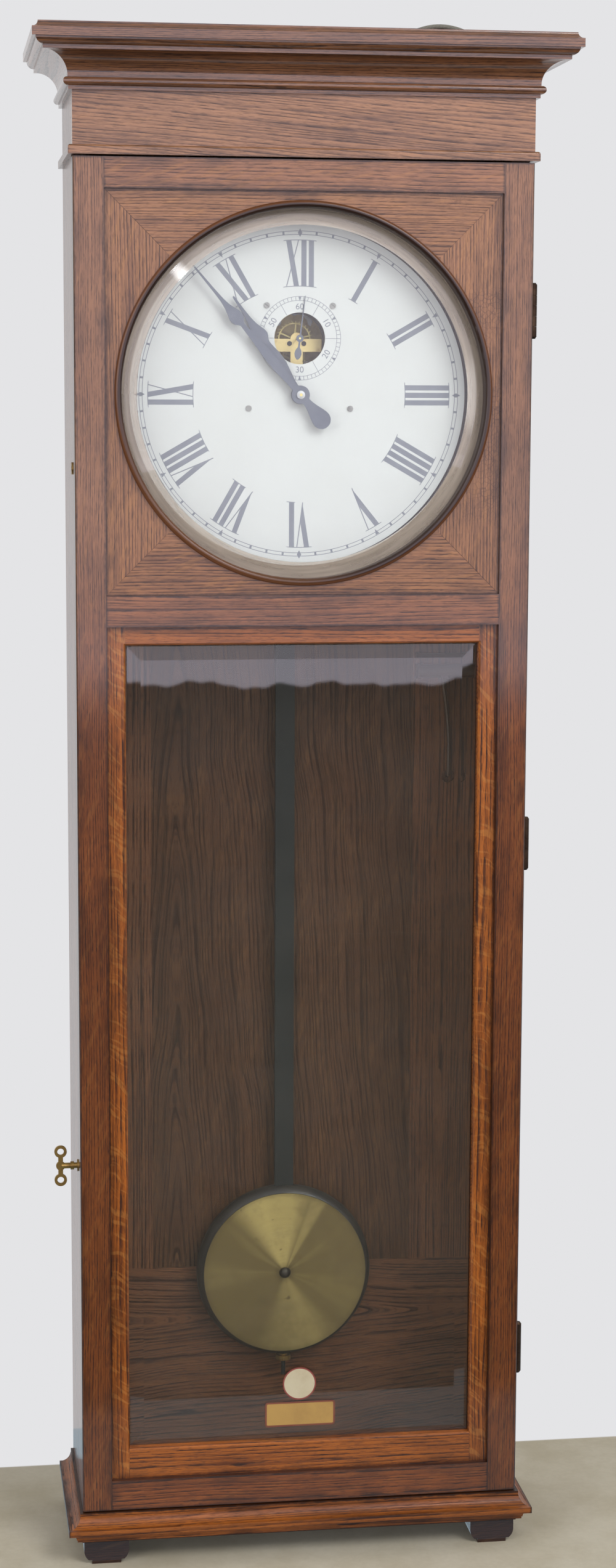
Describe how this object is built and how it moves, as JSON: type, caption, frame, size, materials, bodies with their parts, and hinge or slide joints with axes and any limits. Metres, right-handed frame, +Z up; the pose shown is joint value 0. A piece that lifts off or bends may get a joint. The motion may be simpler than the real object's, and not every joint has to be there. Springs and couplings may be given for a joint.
{
  "type": "electric regulator clock",
  "caption": "Oak wall regulator with a glazed door, white dial with a seconds dial, seconds pendulum and electrically wound movement.",
  "frame": {"origin": "middle of the clock's box, at the underside of the feet", "axes": "+Z up, the dial and the door face -Y, the wall is at +Y, +X is to the right seen from the front"},
  "size_m": [0.53, 0.216, 1.5562],
  "materials": {
    "oak": "satin varnish",
    "oak_dark": "old dark varnish",
    "glass": "polished",
    "brass": "brushed",
    "brass_dark": "tarnished",
    "bronze": "dark patina",
    "blued_steel": "blue grey paint",
    "steel": "bright",
    "spring_steel": "satin",
    "white_dial": "satin enamel paint",
    "iron": "japanned",
    "rod_iron": "dark paint",
    "wire": "silk covered winding",
    "rubber": "matt",
    "cord": "braided",
    "cap": "polished"
  },
  "bodies": {
    "case": {"case_side_left": "oak", "case_side_right": "oak", "case_top_board": "oak", "case_bottom_board": "oak", "back_frame": "oak_dark", "back_panel": "oak_dark", "frieze_board": "oak", "crown_moulding": "oak", "base_moulding": "oak", "feet": "oak_dark", "hinge_leaves_case": "bronze", "hinge_screws_case": "bronze", "latch_collars": "brass", "dial_plate": "white_dial", "dial_screws": "steel", "movement_front_plate": "brass_dark", "movement_back_plate": "brass_dark", "movement_pillars": "brass", "escapement_cock": "brass", "winding_magnet": "wire", "movement_bracket": "iron", "terminal_block": "wire", "cord_grommet": "rubber", "supply_cord": "cord", "cord_coil": "cord", "cord_plug": "cap"},
    "door": {"door_stile_left": "oak", "door_stile_right": "oak", "door_rail_top": "oak", "door_rail_middle": "oak", "door_rail_bottom": "oak", "dial_surround": "oak", "dial_ring": "oak_dark", "dial_glass": "glass", "lower_glass_frame": "oak", "lower_glass": "glass", "glass_stops": "oak_dark", "hinge_leaves_door": "bronze", "hinge_screws_door": "bronze", "latch_strikes": "brass"},
    "upper_latch": {"latch_upper": "brass"},
    "lower_latch": {"latch_lower": "brass"},
    "key": {"latch_key": "steel"},
    "minute": {"centre_wheel": "brass", "minute_hand": "blued_steel", "hand_nut": "steel"},
    "hour": {"hour_wheel": "brass", "hour_hand": "blued_steel"},
    "motion_wheel": {"minute_wheel": "brass"},
    "third": {"third_wheel": "brass"},
    "escape": {"escape_wheel": "brass", "second_hand": "blued_steel"},
    "winding": {"winding_wheel": "brass"},
    "pendulum": {"suspension_spring": "spring_steel", "pendulum_rod": "rod_iron", "bob_face": "brass", "bob_weight": "iron"},
    "verge": {"pallet_verge": "steel"},
    "nut": {"rating_nut": "brass"},
    "armature": {"winding_armature": "iron"}
  },
  "joints": [
    {"name": "door_hinge", "type": "hinge", "parent": "case", "child": "door", "pos_m": [0.231, -0.0467, 0.739], "axis": [0, 0, 1], "range_deg": [0, 115]},
    {"name": "upper_latch_turn", "type": "hinge", "parent": "case", "child": "upper_latch", "pos_m": [-0.217, -0.033, 1.119], "axis": [-1, 0, 0], "range_deg": [0, 90]},
    {"name": "lower_latch_turn", "type": "hinge", "parent": "case", "child": "lower_latch", "pos_m": [-0.217, -0.033, 0.413], "axis": [-1, 0, 0], "range_deg": [0, 90]},
    {"name": "key_pull", "type": "slide", "parent": "lower_latch", "child": "key", "axis": [-1, 0, 0], "range_m": [0, 0.03]},
    {"name": "minute_turn", "type": "hinge", "parent": "case", "child": "minute", "pos_m": [0, 0.021, 1.1915], "axis": [0, 1, 0], "continuous": true},
    {"name": "hour_turn", "type": "hinge", "parent": "case", "child": "hour", "pos_m": [0, 0.021, 1.1915], "axis": [0, 1, 0], "continuous": true},
    {"name": "motion_turn", "type": "hinge", "parent": "case", "child": "motion_wheel", "pos_m": [0.01471, 0.021, 1.17916], "axis": [0, 1, 0], "continuous": true},
    {"name": "third_turn", "type": "hinge", "parent": "case", "child": "third", "pos_m": [0.01094, 0.021, 1.222], "axis": [0, 1, 0], "continuous": true},
    {"name": "escape_turn", "type": "hinge", "parent": "case", "child": "escape", "pos_m": [0, 0.021, 1.2469], "axis": [0, 1, 0], "continuous": true},
    {"name": "winding_turn", "type": "hinge", "parent": "case", "child": "winding", "pos_m": [-0.02, 0.021, 1.1472], "axis": [0, 1, 0], "continuous": true},
    {"name": "pendulum_swing", "type": "hinge", "parent": "case", "child": "pendulum", "pos_m": [0, 0.079, 1.2755], "axis": [0, 1, 0], "range_deg": [-2.5, 2.5]},
    {"name": "verge_swing", "type": "hinge", "parent": "case", "child": "verge", "pos_m": [0, 0.031, 1.2755], "axis": [0, 1, 0], "range_deg": [-2.5, 2.5]},
    {"name": "nut_turn", "type": "hinge", "parent": "pendulum", "child": "nut", "pos_m": [0, 0.079, 0.161], "axis": [0, 0, 1], "continuous": true},
    {"name": "armature_pull", "type": "hinge", "parent": "case", "child": "armature", "pos_m": [0.061, 0.023, 1.1395], "axis": [0, -1, 0], "range_deg": [0, 2.5]}
  ],
  "couplings": [
    {"joint": "hour_turn", "follows": "minute_turn", "ratio": 0.083333},
    {"joint": "motion_turn", "follows": "minute_turn", "ratio": -0.33333},
    {"joint": "third_turn", "follows": "minute_turn", "ratio": -8},
    {"joint": "escape_turn", "follows": "minute_turn", "ratio": 60},
    {"joint": "winding_turn", "follows": "minute_turn", "ratio": -0.125},
    {"joint": "verge_swing", "follows": "pendulum_swing", "ratio": 1}
  ]
}
